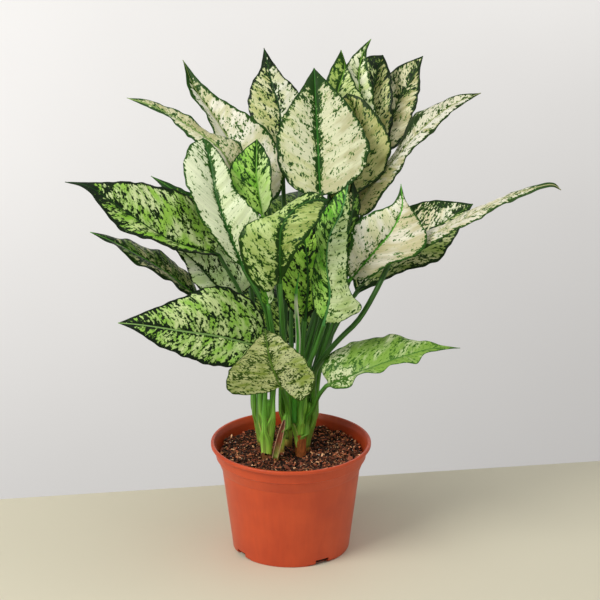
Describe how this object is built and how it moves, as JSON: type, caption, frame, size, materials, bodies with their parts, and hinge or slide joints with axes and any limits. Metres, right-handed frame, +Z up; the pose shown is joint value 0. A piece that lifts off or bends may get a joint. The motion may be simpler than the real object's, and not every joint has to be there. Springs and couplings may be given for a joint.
{
  "type": "potted chinese evergreen",
  "caption": "Variegated chinese evergreen with broad cream and green leaves on clustered stems, standing in a tapered plastic nursery pot filled with potting mix",
  "frame": {"origin": "middle of the flat underside of the pot, on the surface it stands on", "axes": "+Z up, the front that the picture shows faces -Y, +X to the viewer's right"},
  "size_m": [0.4673, 0.3327, 0.4797],
  "materials": {
    "pot_plastic": "moulded orange-brown polypropylene, satin",
    "potting_mix": "dark crumbly peat with bark chips",
    "green_stem": "smooth fleshy green stem",
    "dry_sheath": "dry papery skin, brown inside with pale rims",
    "leaf": "satin leaf, cream with dark green markings"
  },
  "bodies": {
    "root": {"pot": "pot_plastic", "soil": "potting_mix", "stem_left": "green_stem", "stem_right": "green_stem", "stem_far_right": "green_stem", "stem_middle": "green_stem", "stem_back_left": "green_stem", "stem_back_right": "green_stem", "shoot_front": "green_stem", "new_leaf": "green_stem", "pale_shoot": "green_stem", "dry_sheath": "dry_sheath", "leaf_crown_front": "leaf", "leaf_crown_left": "leaf", "leaf_crown_back_left": "leaf", "leaf_far_left_upper": "leaf", "leaf_crown_folded": "leaf", "leaf_crown_right": "leaf", "leaf_crown_tip": "leaf", "leaf_crown_dark": "leaf", "leaf_crown_far": "leaf", "leaf_right_upper": "leaf", "leaf_right_sliver": "leaf", "leaf_right_front": "leaf", "leaf_far_right": "leaf", "leaf_right_back": "leaf", "leaf_left_long": "leaf", "leaf_left_hidden": "leaf", "leaf_left_front": "leaf", "leaf_left_small": "leaf", "leaf_left_bud": "leaf", "leaf_centre_front": "leaf", "leaf_centre_hanging": "leaf", "leaf_centre_inner": "leaf", "leaf_low_front": "leaf", "leaf_left_narrow": "leaf", "leaf_left_inner": "leaf", "leaf_low_left": "leaf", "leaf_low_right": "leaf", "leaf_back_left": "leaf", "leaf_back_middle": "leaf", "leaf_back_right": "leaf", "leaf_back_low_left": "leaf", "leaf_back_low_middle": "leaf"}
  },
  "joints": []
}
